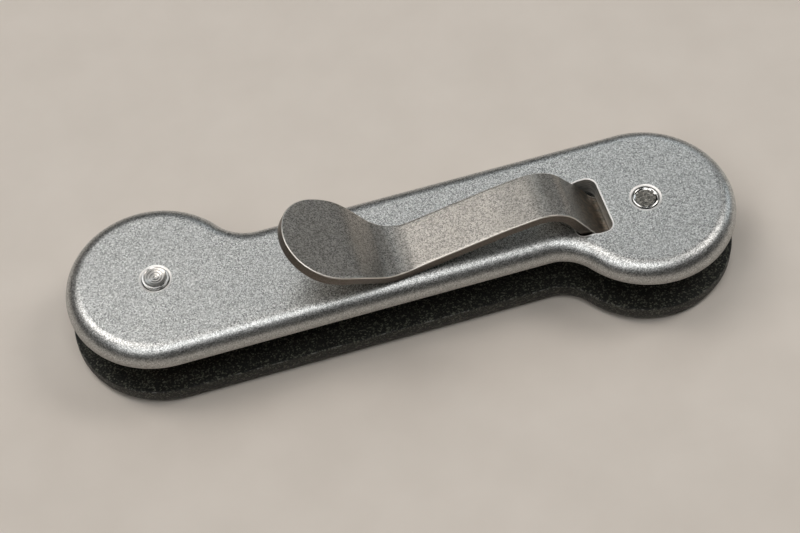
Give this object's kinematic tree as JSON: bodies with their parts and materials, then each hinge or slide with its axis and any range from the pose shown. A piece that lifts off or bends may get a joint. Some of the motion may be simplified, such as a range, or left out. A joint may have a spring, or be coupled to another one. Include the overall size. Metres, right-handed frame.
{
  "type": "key organiser",
  "caption": "Slim key organiser: two rounded plates on screwed posts, with a sprung pocket clip that comes through a slot in the front plate.",
  "frame": {"origin": "middle of the back plate's outer face, which is the bottom centre of the whole object's box in X and Z", "axes": "+X along the bar, from the left screw to the right one, +Z out of the front plate, +Y across the bar"},
  "size_m": [0.0824, 0.0296, 0.0209],
  "materials": {
    "aluminium": "tumbled, fine satin grain",
    "laminate": "black layered laminate, matte, with a fine weave",
    "spring_metal": "tumbled, warm grey, with brighter edges",
    "steel": "turned and polished",
    "copper": "punched copper, lightly worn"
  },
  "bodies": {
    "frame": {"front_plate": "aluminium", "back_plate": "laminate", "left_post": "steel", "right_post": "steel", "clip_tang": "spring_metal"},
    "clip": {"clip_arm": "spring_metal"},
    "left_head_washer": {"left_head_washer": "steel"},
    "left_screw": {"left_screw": "steel"},
    "right_head_washer": {"right_head_washer": "steel"},
    "right_screw": {"right_screw": "steel"},
    "left_spacer_washer_1": {"left_spacer_washer_1": "copper"},
    "left_spacer_washer_2": {"left_spacer_washer_2": "copper"},
    "left_spacer_washer_3": {"left_spacer_washer_3": "copper"},
    "left_spacer_washer_4": {"left_spacer_washer_4": "copper"},
    "left_spacer_washer_5": {"left_spacer_washer_5": "copper"},
    "left_spacer_washer_6": {"left_spacer_washer_6": "copper"},
    "right_spacer_washer_1": {"right_spacer_washer_1": "copper"},
    "right_spacer_washer_2": {"right_spacer_washer_2": "copper"},
    "right_spacer_washer_3": {"right_spacer_washer_3": "copper"},
    "right_spacer_washer_4": {"right_spacer_washer_4": "copper"}
  },
  "joints": [
    {"name": "clip_flex", "type": "hinge", "parent": "frame", "child": "clip", "pos_m": [0.0255, -0.00287, 0.0076], "axis": [0.0175, 0.9998, 0], "range_deg": [0, 6], "stiffness_Nm_per_rad": 2},
    {"name": "left_screw_out", "type": "slide", "parent": "frame", "child": "left_head_washer", "axis": [0, 0, -1], "range_m": [0, 0.0024]},
    {"name": "left_screw_turn", "type": "hinge", "parent": "left_head_washer", "child": "left_screw", "pos_m": [-0.03, 0.0036, 0], "axis": [0, 0, -1], "range_deg": [0, 1440]},
    {"name": "right_screw_out", "type": "slide", "parent": "frame", "child": "right_head_washer", "axis": [0, 0, -1], "range_m": [0, 0.0024]},
    {"name": "right_screw_turn", "type": "hinge", "parent": "right_head_washer", "child": "right_screw", "pos_m": [0.03, -0.0036, 0], "axis": [0, 0, -1], "range_deg": [0, 1440]},
    {"name": "left_spacer_1_spin", "type": "hinge", "parent": "frame", "child": "left_spacer_washer_1", "pos_m": [-0.03, 0.0036, 0], "axis": [0, 0, 1], "continuous": true},
    {"name": "left_spacer_2_spin", "type": "hinge", "parent": "frame", "child": "left_spacer_washer_2", "pos_m": [-0.03, 0.0036, 0], "axis": [0, 0, 1], "continuous": true},
    {"name": "left_spacer_3_spin", "type": "hinge", "parent": "frame", "child": "left_spacer_washer_3", "pos_m": [-0.03, 0.0036, 0], "axis": [0, 0, 1], "continuous": true},
    {"name": "left_spacer_4_spin", "type": "hinge", "parent": "frame", "child": "left_spacer_washer_4", "pos_m": [-0.03, 0.0036, 0], "axis": [0, 0, 1], "continuous": true},
    {"name": "left_spacer_5_spin", "type": "hinge", "parent": "frame", "child": "left_spacer_washer_5", "pos_m": [-0.03, 0.0036, 0], "axis": [0, 0, 1], "continuous": true},
    {"name": "left_spacer_6_spin", "type": "hinge", "parent": "frame", "child": "left_spacer_washer_6", "pos_m": [-0.03, 0.0036, 0], "axis": [0, 0, 1], "continuous": true},
    {"name": "right_spacer_1_spin", "type": "hinge", "parent": "frame", "child": "right_spacer_washer_1", "pos_m": [0.03, -0.0036, 0], "axis": [0, 0, 1], "continuous": true},
    {"name": "right_spacer_2_spin", "type": "hinge", "parent": "frame", "child": "right_spacer_washer_2", "pos_m": [0.03, -0.0036, 0], "axis": [0, 0, 1], "continuous": true},
    {"name": "right_spacer_3_spin", "type": "hinge", "parent": "frame", "child": "right_spacer_washer_3", "pos_m": [0.03, -0.0036, 0], "axis": [0, 0, 1], "continuous": true},
    {"name": "right_spacer_4_spin", "type": "hinge", "parent": "frame", "child": "right_spacer_washer_4", "pos_m": [0.03, -0.0036, 0], "axis": [0, 0, 1], "continuous": true}
  ],
  "couplings": [
    {"joint": "left_screw_turn", "follows": "left_screw_out", "rad_per_m": 10472},
    {"joint": "right_screw_turn", "follows": "right_screw_out", "rad_per_m": 10472}
  ]
}
